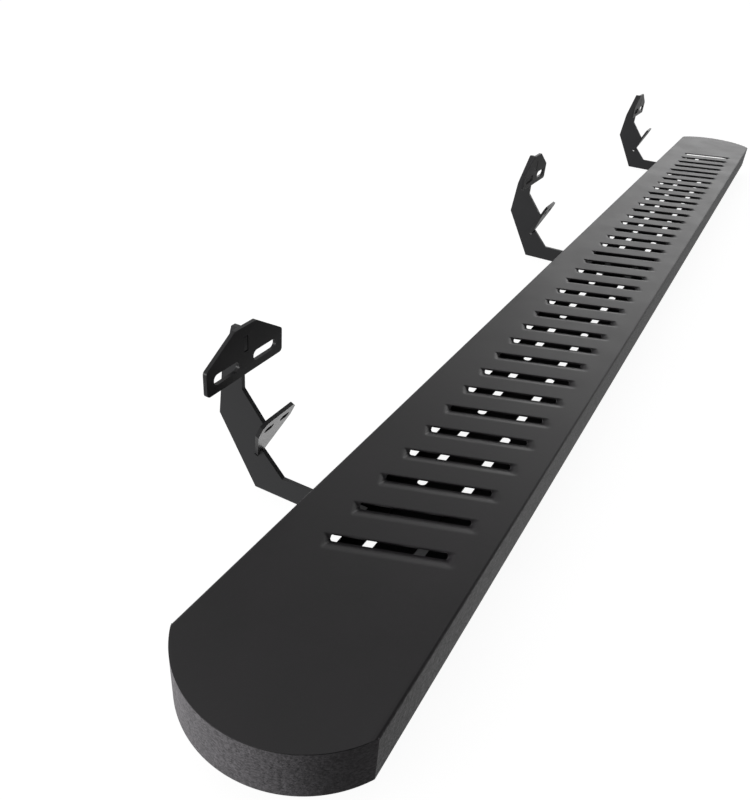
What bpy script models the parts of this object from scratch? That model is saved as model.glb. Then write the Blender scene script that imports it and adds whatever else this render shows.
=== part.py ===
"""Running board for a pickup or van: a louvred steel step on three bolted arm brackets.

Units are metres and +Z is up. The design is drawn in the deck's own frame: X runs along the
board, +Y points to the vehicle and Z = 0 is the deck's tread surface. DECK_ORIGIN puts that
frame into the world so that the world's origin is under the middle of the whole part, on the
surface that the three arms stand on.
"""
import math

import bmesh
import bpy
from mathutils import Matrix, Vector

# ---- driving dimensions: deck ----
DECK_LENGTH = 2.0766
DECK_WIDTH = 0.165
DECK_HEIGHT = 0.0437
SHEET = 0.002
BEND_RADIUS = 0.0025
BEND_STEPS = 3
END_RISE = 0.0473
END_STEPS = 28
WELD_GAP = 0.0003

# ---- louvres: pressed scoops, slanted across the deck ----
LOUVRE_COUNT = 36
LOUVRE_PITCH = 0.04714
LOUVRE_FIRST_X = -0.839
LOUVRE_SLANT = math.radians(20.3)
LOUVRE_LENGTH = 0.097
LOUVRE_WIDTH = 0.0195
LOUVRE_CENTRE_Y = -0.006
LOUVRE_DROP = 0.0044
LOUVRE_GAP = 0.0047
LOUVRE_END_SLOPE = 0.006
LOUVRE_MARGIN = 0.0065
STRIP_SHARE = 0.013

# ---- under tray: a channel welded below the louvres, with rows of bolt slots ----
TRAY_LENGTH = 1.848
TRAY_WIDTH = 0.142
TRAY_TOP = -0.030
TRAY_SLOT_ROWS = (-0.050, -0.021, 0.021, 0.050)
TRAY_SLOT_COUNT = 12
TRAY_SLOT_PITCH = 0.1505
TRAY_SLOT_FIRST_X = -0.8705
TRAY_SLOT_LENGTH = 0.126
TRAY_SLOT_WIDTH = 0.009

# ---- brackets ----
BRACKET_X = {"rear": -0.769, "middle": 0.040, "front": 0.849}
ARM_THICKNESS = 0.005
ARM_BOTTOM = -0.0685
ARM_FOOT_TOP = -0.0458
ARM_TOE_Y = -0.066
ARM_TOE_Z = -0.050
ARM_TOE_CHAMFER = 0.008
ARM_CROOK_Y = 0.144
ARM_HEEL_Y = 0.1764
ARM_REACH = 0.2182
ARM_REACH_Z = 0.005
ARM_BEND_Y = 0.2133
ARM_BEND_Z = 0.055
ARM_TIP_Y = 0.2005
ARM_TIP_Z = 0.1045
ARM_THROAT_Z = 0.0405
PLATE_THICKNESS = 0.004
MOUNT_FACE_Y = 0.186
MOUNT_HALF_WIDTH = 0.0555
MOUNT_TOP_HALF = 0.0155
MOUNT_BOTTOM = 0.0584
MOUNT_SHOULDER = 0.0835
MOUNT_TOP = 0.1074
MOUNT_CORNER = 0.004
MOUNT_SLOT_X = 0.0282
MOUNT_SLOT_Z = 0.0715
MOUNT_SLOT_LENGTH = 0.0355
MOUNT_SLOT_WIDTH = 0.0105
TENON_LOW = 0.0816
TENON_HIGH = 0.0970
TAB_TOP_Y = 0.147
TAB_TOP_Z = 0.0285
TAB_TILT = math.radians(24.1)
TAB_HALF_WIDTH = 0.0255
TAB_SHOULDER = 0.018
TAB_LENGTH = 0.062
TAB_CHAMFER = 0.005
TAB_TIP_HALF = 0.003
TAB_SEAT_TOP = 0.027
TAB_NOTCH_MOUTH = 0.053
TAB_NOTCH_SPARE = 0.002
TAB_SLOT_X = 0.0122
TAB_SLOT_DOWN = 0.0125
TAB_SLOT_LENGTH = 0.0135
TAB_SLOT_WIDTH = 0.007
FLANGE_NEAR_X = -0.006
FLANGE_FAR_X = 0.032
FLANGE_HALF_Y = 0.062
FLANGE_END_GAP = 0.004

# ---- M8 fasteners of each bracket's foot ----
BOLT_X = 0.014
BOLT_Y = 0.050
BOLT_RADIUS = 0.0038
BOLT_END = -0.049
BOLT_HEAD_RADIUS = 0.0085
BOLT_HEAD_HEIGHT = 0.004
BOLT_NECK = 0.0078
BOLT_CHAMFER = 0.0008
BOLT_CROWN_SHARE = 0.35
BOLT_DOME_SHARE = 0.75
BOLT_DOME_DROP = 0.0008
BOLT_RIM_DROP = 0.0026
CLEARANCE_RADIUS = 0.0045
WASHER_RADIUS = 0.008
WASHER_THICKNESS = 0.0016
NUT_ACROSS_FLATS = 0.013
NUT_HEIGHT = 0.0065
THREAD_GAP_RADIUS = 0.0043
ROUND_STEPS = 20

HALF_WIDTH = DECK_WIDTH / 2
END_RADIUS = (HALF_WIDTH ** 2 + END_RISE ** 2) / (2 * END_RISE)
END_CENTRE_X = DECK_LENGTH / 2 - END_RADIUS
TRAY_BOTTOM = TRAY_TOP - SHEET
FLANGE_TOP = TRAY_BOTTOM - WELD_GAP
FLANGE_BOTTOM = FLANGE_TOP - PLATE_THICKNESS
DECK_ORIGIN = Vector((0.0, (HALF_WIDTH - ARM_REACH) / 2, -ARM_BOTTOM))


def clear_scene():
    for old in list(bpy.data.objects):
        bpy.data.objects.remove(old, do_unlink=True)


def steel(name, colour, roughness, metallic):
    material = bpy.data.materials.new(name)
    material.use_nodes = True
    shader = material.node_tree.nodes["Principled BSDF"]
    shader.inputs["Base Color"].default_value = (*colour, 1.0)
    shader.inputs["Roughness"].default_value = roughness
    shader.inputs["Metallic"].default_value = metallic
    material.diffuse_color = (*colour, 1.0)
    return material


def add_object(name, mesh, material, parent, location=(0.0, 0.0, 0.0)):
    item = bpy.data.objects.new(name, mesh)
    bpy.context.collection.objects.link(item)
    item.parent = parent
    item.location = location
    if not mesh.materials:
        mesh.materials.append(material)
    return item


def finish_mesh(name, bm, smooth_angle=None):
    """Turn all faces outward and write the mesh, with round stretches shaded smooth."""
    bmesh.ops.recalc_face_normals(bm, faces=bm.faces)
    mesh = bpy.data.meshes.new(name)
    bm.to_mesh(mesh)
    bm.free()
    if smooth_angle is not None:
        mesh.shade_smooth()
        mesh.set_sharp_from_angle(angle=math.radians(smooth_angle))
    return mesh


# ---- outlines ----

def arc(centre, radius, start, end, steps):
    """Points of an arc about centre, from angle start to angle end, both ends included."""
    angles = [start + (end - start) * i / steps for i in range(steps + 1)]
    return [(centre[0] + radius * math.cos(a), centre[1] + radius * math.sin(a)) for a in angles]


def obround(centre, length, width, steps=6):
    """A slot with round ends, its long side along the first axis."""
    radius = width / 2
    reach = length / 2 - radius
    right = arc((centre[0] + reach, centre[1]), radius, -math.pi / 2, math.pi / 2, steps)
    left = arc((centre[0] - reach, centre[1]), radius, math.pi / 2, 3 * math.pi / 2, steps)
    return right + left


def circle(centre, radius, steps=ROUND_STEPS):
    return arc(centre, radius, 0.0, 2 * math.pi * (steps - 1) / steps, steps - 1)


def rectangle(low, high):
    return [(low[0], low[1]), (high[0], low[1]), (high[0], high[1]), (low[0], high[1])]


def add_plate(bm, outline, holes, low, high, place=Matrix.Identity(4)):
    """A flat plate between two levels, cut to outline and pierced by holes, then placed."""
    edges = []
    corners = []
    for loop in [outline, *holes]:
        ring = [bm.verts.new((a, b, low)) for a, b in loop]
        corners += ring
        edges += [bm.edges.new((ring[i - 1], ring[i])) for i in range(len(ring))]
    filled = bmesh.ops.triangle_fill(bm, edges=edges, use_beauty=True)
    faces = [item for item in filled["geom"] if isinstance(item, bmesh.types.BMFace)]
    raised = bmesh.ops.extrude_face_region(bm, geom=faces)
    tops = [item for item in raised["geom"] if isinstance(item, bmesh.types.BMVert)]
    bmesh.ops.translate(bm, verts=tops, vec=(0.0, 0.0, high - low))
    bmesh.ops.transform(bm, matrix=place, verts=corners + tops)


# Each placement maps a plate's own (first axis, second axis, thickness) onto X, Y and Z.
UPRIGHT_ACROSS = Matrix(((0, 0, 1, 0), (1, 0, 0, 0), (0, 1, 0, 0), (0, 0, 0, 1)))
UPRIGHT_ALONG = Matrix(((1, 0, 0, 0), (0, 0, 1, 0), (0, 1, 0, 0), (0, 0, 0, 1)))


# ---- deck panel ----

class SharedVerts:
    """Vertices looked up by place, so that neighbouring faces share them."""

    def __init__(self, bm):
        self.bm = bm
        self.known = {}

    def at(self, point):
        key = tuple(round(value, 7) for value in point)
        if key not in self.known:
            self.known[key] = self.bm.verts.new(point)
        return self.known[key]

    def face(self, *points):
        self.bm.faces.new([self.at(point) for point in points])


def end_x(y):
    """How far the bowed end outline reaches along X at a distance y from the centre line."""
    return END_CENTRE_X + math.sqrt(END_RADIUS ** 2 - y ** 2)


def louvre_corners(index):
    """Corners of one scoop in plan: cut edge left and right, crease left and right, lip."""
    along = Vector((-math.sin(LOUVRE_SLANT), math.cos(LOUVRE_SLANT)))
    across = Vector((math.cos(LOUVRE_SLANT), math.sin(LOUVRE_SLANT)))
    slope = math.tan(LOUVRE_SLANT)
    x = LOUVRE_FIRST_X + index * LOUVRE_PITCH - slope * LOUVRE_CENTRE_Y
    middle = Vector((x, LOUVRE_CENTRE_Y))
    left = middle + along * LOUVRE_LENGTH / 2
    right = middle - along * LOUVRE_LENGTH / 2
    lip_shift = across * LOUVRE_GAP
    end_shift = along * LOUVRE_END_SLOPE
    return {
        "cut": (left, right),
        "crease": (left - across * LOUVRE_WIDTH, right - across * LOUVRE_WIDTH),
        "lip": (left - lip_shift - end_shift, right - lip_shift + end_shift),
    }


def band_limits():
    """The two long edges of the strip of deck that the scoops are pressed into."""
    corners = louvre_corners(0)
    high = corners["cut"][0].y + LOUVRE_MARGIN
    low = corners["crease"][1].y - LOUVRE_MARGIN
    return low, high


def strip_x(index, y):
    """X of the flat strip's middle before scoop number index, at a distance y."""
    start = LOUVRE_FIRST_X + STRIP_SHARE - LOUVRE_PITCH
    return start + index * LOUVRE_PITCH - math.tan(LOUVRE_SLANT) * y


def bend_profile():
    """Side of the folded panel as (y, z): the outer skin downward, then the inner skin."""
    bend_y = HALF_WIDTH - BEND_RADIUS
    outer = arc((bend_y, -BEND_RADIUS), BEND_RADIUS, math.pi / 2, 0.0, BEND_STEPS)
    outer.append((HALF_WIDTH, -DECK_HEIGHT))
    inside = HALF_WIDTH - SHEET
    inner = [(bend_y, -SHEET), (inside, -BEND_RADIUS), (inside, -DECK_HEIGHT)]
    return outer, inner


def add_louvre(verts, index, low, high):
    """One scoop and the flat ring round it, on both skins, with the walls of its slit."""
    corners = louvre_corners(index)
    near = [(strip_x(index, high), high), (strip_x(index, low), low)]
    far = [(strip_x(index + 1, high), high), (strip_x(index + 1, low), low)]
    cut, crease, lip = corners["cut"], corners["crease"], corners["lip"]
    for level in (0.0, -SHEET):
        flat = {"near": near, "far": far, "cut": cut, "crease": crease}
        p = {key: [(*point, level) for point in pair] for key, pair in flat.items()}
        p["lip"] = [(*point, level - LOUVRE_DROP) for point in lip]
        verts.face(p["near"][0], p["crease"][0], p["crease"][1], p["near"][1])
        verts.face(p["cut"][0], p["far"][0], p["far"][1], p["cut"][1])
        verts.face(p["near"][0], p["far"][0], p["cut"][0], p["crease"][0])
        verts.face(p["near"][1], p["crease"][1], p["cut"][1], p["far"][1])
        verts.face(p["crease"][0], p["lip"][0], p["lip"][1], p["crease"][1])
        verts.face(p["crease"][0], p["cut"][0], p["lip"][0])
        verts.face(p["crease"][1], p["lip"][1], p["cut"][1])
    slit = [(*cut[0], 0.0), (*cut[1], 0.0)]
    slit += [(*lip[1], -LOUVRE_DROP), (*lip[0], -LOUVRE_DROP)]
    add_edge_walls(verts, slit)


def add_edge_walls(verts, ring):
    """The sheet's cut edge along a closed ring of upper points."""
    for i, point in enumerate(ring):
        before = ring[i - 1]
        below = [(q[0], q[1], q[2] - SHEET) for q in (point, before)]
        verts.face(before, point, *below)


def add_side(verts, side, low, high):
    """The flat margin beside the scoops and the folded skirt on one long side."""
    outer, inner = bend_profile()
    edge = high if side > 0 else low
    stations = [strip_x(i, edge) for i in range(LOUVRE_COUNT + 1)]
    for a, b in zip(stations, stations[1:]):
        for level, skin in ((0.0, outer), (-SHEET, inner)):
            first_y = side * skin[0][0]
            verts.face((a, edge, level), (b, edge, level), (b, first_y, level), (a, first_y, level))
    for skin in (outer, inner):
        for (y0, z0), (y1, z1) in zip(skin, skin[1:]):
            rear = [(-end_x(y0), side * y0, z0), (-end_x(y1), side * y1, z1)]
            front = [(end_x(y1), side * y1, z1), (end_x(y0), side * y0, z0)]
            middle = [(x, side * y0, z0) for x in reversed(stations)] if y0 == skin[0][0] else []
            verts.face(*rear, *front, *middle)
    foot = [outer[-1], inner[-1]]
    verts.face(*[(-end_x(y), side * y, z) for y, z in foot],
               *[(end_x(y), side * y, z) for y, z in reversed(foot)])


def add_end(verts, end, low, high):
    """The plain end of the deck, its bowed edge and the two ends of the skirts."""
    outer, inner = bend_profile()
    bend_y = outer[0][0]
    index = LOUVRE_COUNT if end > 0 else 0
    reach = math.asin(bend_y / END_RADIUS)
    curve = [(END_CENTRE_X + x, y)
             for x, y in arc((0.0, 0.0), END_RADIUS, -reach, reach, END_STEPS)]
    curve = [(end * x, y) for x, y in curve]
    inboard = [(strip_x(index, high), bend_y), (strip_x(index, high), high),
               (strip_x(index, low), low), (strip_x(index, low), -bend_y)]
    for level in (0.0, -SHEET):
        verts.face(*[(x, y, level) for x, y in curve + inboard])
    for (x0, y0), (x1, y1) in zip(curve, curve[1:]):
        verts.face((x0, y0, 0.0), (x1, y1, 0.0), (x1, y1, -SHEET), (x0, y0, -SHEET))
    for side in (-1, 1):
        out = [(end * end_x(y), side * y, z) for y, z in outer]
        ins = [(end * end_x(y), side * y, z) for y, z in inner]
        verts.face(out[0], out[1], ins[0])
        verts.face(out[1], out[2], ins[1], ins[0])
        verts.face(out[2], out[3], ins[1])
        verts.face(out[3], out[4], ins[2], ins[1])


def deck_panel_mesh():
    """Tread sheet with its scoops and the two long skirts folded down from it."""
    bm = bmesh.new()
    verts = SharedVerts(bm)
    low, high = band_limits()
    for index in range(LOUVRE_COUNT):
        add_louvre(verts, index, low, high)
    for side in (-1, 1):
        add_side(verts, side, low, high)
    for end in (-1, 1):
        add_end(verts, end, low, high)
    return finish_mesh("deck_panel", bm, smooth_angle=35)


def end_wall_mesh():
    """Curved strip welded under the bowed end of the deck, between the two skirts."""
    half = HALF_WIDTH - SHEET - WELD_GAP
    reach = math.asin(half / END_RADIUS)
    inner_radius = END_RADIUS - SHEET
    inner_reach = math.asin(half / inner_radius)
    centre = (END_CENTRE_X, 0.0)
    outline = arc(centre, END_RADIUS, -reach, reach, END_STEPS)
    outline += arc(centre, inner_radius, inner_reach, -inner_reach, END_STEPS)
    bm = bmesh.new()
    add_plate(bm, outline, [], -DECK_HEIGHT, -SHEET - WELD_GAP)
    return finish_mesh("end_wall", bm, smooth_angle=30)


# ---- under tray ----

def tray_section():
    """The channel's section as (y, z)."""
    half = TRAY_WIDTH / 2
    top = -SHEET - WELD_GAP
    outside = [(half, top), (half, TRAY_BOTTOM), (-half, TRAY_BOTTOM), (-half, top)]
    inside = [(-half + SHEET, top), (-half + SHEET, TRAY_TOP), (half - SHEET, TRAY_TOP)]
    return outside + inside + [(half - SHEET, top)]


def tray_slot_cutter(material, parent):
    """One prism for each bolt slot, in four rows of long slots."""
    bm = bmesh.new()
    for column in range(TRAY_SLOT_COUNT):
        x = TRAY_SLOT_FIRST_X + column * TRAY_SLOT_PITCH + TRAY_SLOT_LENGTH / 2
        for y in TRAY_SLOT_ROWS:
            slot = obround((x, y), TRAY_SLOT_LENGTH, TRAY_SLOT_WIDTH)
            add_plate(bm, slot, [], TRAY_BOTTOM - SHEET, TRAY_TOP + SHEET)
    cutter = add_object("tray_slots", finish_mesh("tray_slots", bm), material, parent)
    cutter.hide_render = True
    cutter.display_type = "WIRE"
    return cutter


def make_tray(material, parent):
    bm = bmesh.new()
    half = TRAY_LENGTH / 2
    add_plate(bm, tray_section(), [], -half, half, UPRIGHT_ACROSS)
    tray = add_object("under_tray", finish_mesh("under_tray", bm), material, parent)
    cut = tray.modifiers.new("bolt slots", "BOOLEAN")
    cut.operation = "DIFFERENCE"
    cut.object = tray_slot_cutter(material, parent)


# ---- bracket plates ----

def tab_point(down, out):
    """A place in the tab plate's side view: down its face, and out from it to the vehicle."""
    y = TAB_TOP_Y + down * math.sin(TAB_TILT) + out * math.cos(TAB_TILT)
    z = TAB_TOP_Z - down * math.cos(TAB_TILT) + out * math.sin(TAB_TILT)
    return y, z


def arm_outline():
    """Side view of an arm as (y, z), from its foot under the deck up to the mount plate."""
    seat = PLATE_THICKNESS + WELD_GAP
    inner_edge = MOUNT_FACE_Y + seat
    foot = [(ARM_TOE_Y, ARM_TOE_Z), (ARM_TOE_Y + ARM_TOE_CHAMFER, ARM_BOTTOM)]
    foot.append((ARM_HEEL_Y, ARM_BOTTOM))
    outside = [(ARM_REACH, ARM_REACH_Z), (ARM_BEND_Y, ARM_BEND_Z), (ARM_TIP_Y, ARM_TIP_Z)]
    tenon_low = TENON_LOW + WELD_GAP
    tenon_high = TENON_HIGH - WELD_GAP
    tenon_end = MOUNT_FACE_Y + WELD_GAP
    tenon = [(inner_edge, ARM_TIP_Z), (inner_edge, tenon_high), (tenon_end, tenon_high),
             (tenon_end, tenon_low), (inner_edge, tenon_low)]
    notch_end = TAB_LENGTH + TAB_NOTCH_SPARE
    notch = [(inner_edge, ARM_THROAT_Z), tab_point(TAB_SEAT_TOP, seat),
             tab_point(notch_end, seat), tab_point(notch_end, -WELD_GAP),
             tab_point(TAB_NOTCH_MOUTH, -WELD_GAP)]
    under_flange = FLANGE_BOTTOM - WELD_GAP
    inside = [(ARM_CROOK_Y, ARM_FOOT_TOP), (FLANGE_HALF_Y + FLANGE_END_GAP, ARM_FOOT_TOP),
              (FLANGE_HALF_Y, under_flange), (-FLANGE_HALF_Y, under_flange)]
    return foot + outside + tenon + notch + inside


def arm_mesh():
    bm = bmesh.new()
    half = ARM_THICKNESS / 2
    add_plate(bm, arm_outline(), [], -half, half, UPRIGHT_ACROSS)
    return finish_mesh("bracket_arm", bm)


def mount_plate_mesh():
    """House-shaped plate with two long bolt slots and the slot for the arm's tenon."""
    corner_x = MOUNT_HALF_WIDTH - MOUNT_CORNER
    corner_z = MOUNT_BOTTOM + MOUNT_CORNER
    quarter = math.pi / 2
    outline = arc((corner_x, corner_z), MOUNT_CORNER, -quarter, 0.0, 4)
    outline += [(MOUNT_HALF_WIDTH, MOUNT_SHOULDER), (MOUNT_TOP_HALF, MOUNT_TOP)]
    outline += [(-MOUNT_TOP_HALF, MOUNT_TOP), (-MOUNT_HALF_WIDTH, MOUNT_SHOULDER)]
    outline += arc((-corner_x, corner_z), MOUNT_CORNER, 2 * quarter, 3 * quarter, 4)
    tenon_half = ARM_THICKNESS / 2 + WELD_GAP
    holes = [obround((side * MOUNT_SLOT_X, MOUNT_SLOT_Z), MOUNT_SLOT_LENGTH, MOUNT_SLOT_WIDTH)
             for side in (-1, 1)]
    holes.append(rectangle((-tenon_half, TENON_LOW), (tenon_half, TENON_HIGH)))
    bm = bmesh.new()
    place = UPRIGHT_ALONG
    add_plate(bm, outline, holes, MOUNT_FACE_Y, MOUNT_FACE_Y + PLATE_THICKNESS, place)
    return finish_mesh("mount_plate", bm, smooth_angle=30)


def tab_plate_mesh():
    """Shield-shaped plate that slides down into the arm's notch, with two bolt slots."""
    right = [(TAB_TIP_HALF, -TAB_LENGTH), (TAB_HALF_WIDTH, -TAB_SHOULDER)]
    right += [(TAB_HALF_WIDTH, -TAB_CHAMFER), (TAB_HALF_WIDTH - TAB_CHAMFER, 0.0)]
    outline = right + [(-x, down) for x, down in reversed(right)]
    holes = [obround((side * TAB_SLOT_X, -TAB_SLOT_DOWN), TAB_SLOT_LENGTH, TAB_SLOT_WIDTH)
             for side in (-1, 1)]
    lean = Matrix.Rotation(TAB_TILT, 4, "X")
    place = Matrix.Translation((0.0, TAB_TOP_Y, TAB_TOP_Z)) @ lean @ UPRIGHT_ALONG
    bm = bmesh.new()
    add_plate(bm, outline, holes, 0.0, PLATE_THICKNESS, place)
    return finish_mesh("tab_plate", bm, smooth_angle=30)


def foot_flange_mesh():
    """Flat plate on top of the arm's foot, drilled for the two bolts."""
    outline = rectangle((FLANGE_NEAR_X, -FLANGE_HALF_Y), (FLANGE_FAR_X, FLANGE_HALF_Y))
    holes = [circle((BOLT_X, side * BOLT_Y), CLEARANCE_RADIUS) for side in (-1, 1)]
    bm = bmesh.new()
    add_plate(bm, outline, holes, FLANGE_BOTTOM, FLANGE_TOP)
    return finish_mesh("foot_flange", bm, smooth_angle=30)


# ---- fasteners ----

def round_ring(radius, z):
    return [(x, y, z) for x, y in circle((0.0, 0.0), radius)]


def square_ring(side, z):
    """The outline of a square with as many points as a round ring, for a bolt's neck."""
    ring = []
    for x, y in circle((0.0, 0.0), 1.0):
        scale = side / 2 / max(abs(x), abs(y))
        ring.append((x * scale, y * scale, z))
    return ring


def add_stack(bm, rings):
    """One closed solid through a stack of rings with equal numbers of points."""
    loops = [[bm.verts.new(point) for point in ring] for ring in rings]
    bm.faces.new(loops[0])
    bm.faces.new(loops[-1])
    for upper, lower in zip(loops, loops[1:]):
        for i in range(ROUND_STEPS):
            bm.faces.new((upper[i - 1], upper[i], lower[i], lower[i - 1]))


def bolt_mesh():
    """M8 carriage bolt, head up, with a square neck that keys in a slot of the tray."""
    seat = TRAY_TOP + WELD_GAP
    crown = seat + BOLT_HEAD_HEIGHT
    rings = [round_ring(BOLT_HEAD_RADIUS * BOLT_CROWN_SHARE, crown),
             round_ring(BOLT_HEAD_RADIUS * BOLT_DOME_SHARE, crown - BOLT_DOME_DROP),
             round_ring(BOLT_HEAD_RADIUS, crown - BOLT_RIM_DROP),
             round_ring(BOLT_HEAD_RADIUS, seat),
             square_ring(BOLT_NECK, seat),
             square_ring(BOLT_NECK, TRAY_BOTTOM),
             round_ring(BOLT_RADIUS, TRAY_BOTTOM),
             round_ring(BOLT_RADIUS, BOLT_END + BOLT_CHAMFER),
             round_ring(BOLT_RADIUS - BOLT_CHAMFER, BOLT_END)]
    bm = bmesh.new()
    add_stack(bm, rings)
    return finish_mesh("carriage_bolt", bm, smooth_angle=30)


def washer_mesh():
    top = FLANGE_BOTTOM - WELD_GAP
    bm = bmesh.new()
    hole = circle((0.0, 0.0), THREAD_GAP_RADIUS)
    add_plate(bm, circle((0.0, 0.0), WASHER_RADIUS), [hole], top - WASHER_THICKNESS, top)
    return finish_mesh("flat_washer", bm, smooth_angle=30)


def nut_mesh():
    """Hexagon nut with a clear bore round the bolt's thread."""
    top = FLANGE_BOTTOM - WASHER_THICKNESS - 2 * WELD_GAP
    corner_radius = NUT_ACROSS_FLATS / 2 / math.cos(math.pi / 6)
    bore = circle((0.0, 0.0), THREAD_GAP_RADIUS, 18)
    bm = bmesh.new()
    add_plate(bm, circle((0.0, 0.0), corner_radius, 6), [bore], top - NUT_HEIGHT, top)
    return finish_mesh("hex_nut", bm, smooth_angle=30)


def make_brackets(materials, parent):
    """Three equal brackets: each is four plates and two sets of bolt, washer and nut."""
    plates = {"bracket_arm": arm_mesh(), "mount_plate": mount_plate_mesh(),
              "tab_plate": tab_plate_mesh(), "foot_flange": foot_flange_mesh()}
    fasteners = {"carriage_bolt": bolt_mesh(), "flat_washer": washer_mesh(),
                 "hex_nut": nut_mesh()}
    for place, x in BRACKET_X.items():
        for label, mesh in plates.items():
            add_object(f"{place}_{label}", mesh, materials["bracket"], parent, (x, 0.0, 0.0))
        for row, side in (("outer", -1), ("inner", 1)):
            spot = (x + BOLT_X, side * BOLT_Y, 0.0)
            for label, mesh in fasteners.items():
                name = f"{place}_{row}_{label}"
                add_object(name, mesh, materials["fastener"], parent, spot)


def build():
    clear_scene()
    materials = {
        "deck": steel("deck_powder_coat", (0.035, 0.035, 0.037), 0.62, 0.0),
        "end": steel("end_powder_coat", (0.038, 0.038, 0.040), 0.70, 0.0),
        "tray": steel("tray_powder_coat", (0.020, 0.020, 0.021), 0.65, 0.0),
        "bracket": steel("bracket_powder_coat", (0.030, 0.030, 0.031), 0.50, 0.0),
        "fastener": steel("zinc_fastener", (0.42, 0.42, 0.43), 0.38, 1.0),
    }
    frame = bpy.data.objects.new("deck_frame", None)
    bpy.context.collection.objects.link(frame)
    frame.location = DECK_ORIGIN
    add_object("deck_panel", deck_panel_mesh(), materials["deck"], frame)
    wall = end_wall_mesh()
    add_object("front_end_wall", wall, materials["end"], frame)
    rear_wall = add_object("rear_end_wall", wall, materials["end"], frame)
    rear_wall.rotation_euler = (0.0, 0.0, math.pi)
    make_tray(materials["tray"], frame)
    make_brackets(materials, frame)


build()
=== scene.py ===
"""Looks of the running board: fine pressed deck, curved ends, slotted tray, brackets and bolts.

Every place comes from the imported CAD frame's boxes. Pieces are drawn in the deck's own frame,
X along the board, +Y to the vehicle and Z = 0 on the tread, and DECK puts them in the world.
"""
import math

import bmesh
import bpy
from mathutils import Matrix, Vector


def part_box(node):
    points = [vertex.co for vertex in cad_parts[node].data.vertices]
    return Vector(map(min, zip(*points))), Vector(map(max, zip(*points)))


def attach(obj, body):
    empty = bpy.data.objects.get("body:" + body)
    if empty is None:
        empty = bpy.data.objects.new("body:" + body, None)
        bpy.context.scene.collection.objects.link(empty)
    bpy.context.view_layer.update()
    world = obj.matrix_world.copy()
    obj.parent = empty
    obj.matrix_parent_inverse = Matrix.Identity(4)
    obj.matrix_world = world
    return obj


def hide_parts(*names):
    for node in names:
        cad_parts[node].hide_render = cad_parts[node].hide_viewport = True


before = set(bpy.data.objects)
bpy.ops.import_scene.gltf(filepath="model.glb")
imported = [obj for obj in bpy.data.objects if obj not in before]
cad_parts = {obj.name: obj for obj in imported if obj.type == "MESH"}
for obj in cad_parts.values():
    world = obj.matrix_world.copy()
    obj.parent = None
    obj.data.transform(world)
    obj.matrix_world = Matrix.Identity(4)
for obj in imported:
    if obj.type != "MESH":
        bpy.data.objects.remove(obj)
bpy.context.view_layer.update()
BODY = "root"

# ---- sizes read from the frame ----
DECK_LOW, DECK_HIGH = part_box("deck_panel")
TRAY_LOW, TRAY_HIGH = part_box("under_tray")
FLANGE_LOW, FLANGE_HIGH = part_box("rear_foot_flange")
MOUNT_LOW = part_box("rear_mount_plate")[0]
ARM_LOW, ARM_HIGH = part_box("rear_bracket_arm")
NUT_LOW, NUT_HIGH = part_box("rear_outer_hex_nut")
BOLT_LOW, BOLT_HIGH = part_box("rear_outer_carriage_bolt")
WASHER_LOW, WASHER_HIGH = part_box("rear_outer_flat_washer")
DECK = Vector((0.0, (DECK_LOW.y + DECK_HIGH.y) / 2, DECK_HIGH.z))
HALF_LENGTH = (DECK_HIGH.x - DECK_LOW.x) / 2
HALF_WIDTH = (DECK_HIGH.y - DECK_LOW.y) / 2
SKIRT_END = DECK_LOW.z - DECK.z

# ---- how finely curves are drawn, and how edges are treated ----
ROUND_STEPS = 14
CORNER_STEPS = 5
NEARLY_STRAIGHT = math.radians(176)
SMOOTH_ANGLE = 38
DECK_SMOOTH_ANGLE = 55
SHEET_EDGE = 0.0003
PLATE_EDGE = 0.00035

# ---- deck: sheet, bends and pressed louvres ----
SHEET = 0.002
GAP = 0.0003
FLUSH = 0.00008
BEND_RADIUS = 0.0025
BEND_STEPS = 6
BEND_LEAD = 0.0008
END_RISE = 0.0473
END_STEPS = 96
LOUVRE_COUNT = 36
LOUVRE_PITCH = 0.04714
LOUVRE_FIRST_X = -0.839
LOUVRE_SLANT = math.radians(20.3)
LOUVRE_LENGTH = 0.0952
LOUVRE_WIDTH = 0.0195
LOUVRE_CENTRE_Y = -0.006
LOUVRE_DROP = 0.0044
LOUVRE_GAP = 0.0047
LOUVRE_END_SLOPE = 0.0055
LOUVRE_END_REACH = 0.0045
LOUVRE_STRIP = 0.013
LOUVRE_BAND_MARGIN = 0.0145
SCOOP_CURVE = 1.6
FRONT_SOFT = 0.16
END_SOFT = 0.45

# ---- tray ----
TRAY_ROWS = (-0.050, -0.021, 0.021, 0.050)
TRAY_SLOT_COUNT = 12
TRAY_SLOT_PITCH = 0.1505
TRAY_SLOT_FIRST_X = -0.8705
TRAY_SLOT_LENGTH = 0.126
TRAY_SLOT_WIDTH = 0.009
TRAY_BEND = 0.003

# ---- brackets ----
BRACKETS = ("rear", "middle", "front")
PLATE = 0.004
ARM_THICKNESS = 0.005
TENON_LOW = 0.0816
TENON_HIGH = 0.0970
MOUNT_SLOT_X = 0.0282
MOUNT_SLOT_Z = 0.0715
MOUNT_SLOT = (0.0355, 0.0105)
TAB_TOP = (0.147, 0.0285)
TAB_TILT = math.radians(24.1)
TAB_HALF_WIDTH = 0.0255
TAB_SHOULDER = 0.018
TAB_LENGTH = 0.062
TAB_SEAT = 0.027
TAB_MOUTH = 0.053
TAB_NOTCH_SPARE = 0.002
TAB_SLOT_X = 0.0122
TAB_SLOT_DOWN = 0.0125
TAB_SLOT = (0.0135, 0.007)
BOLT_ROWS = {"outer": -0.050, "inner": 0.050}
CLEARANCE_RADIUS = 0.0045

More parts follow.
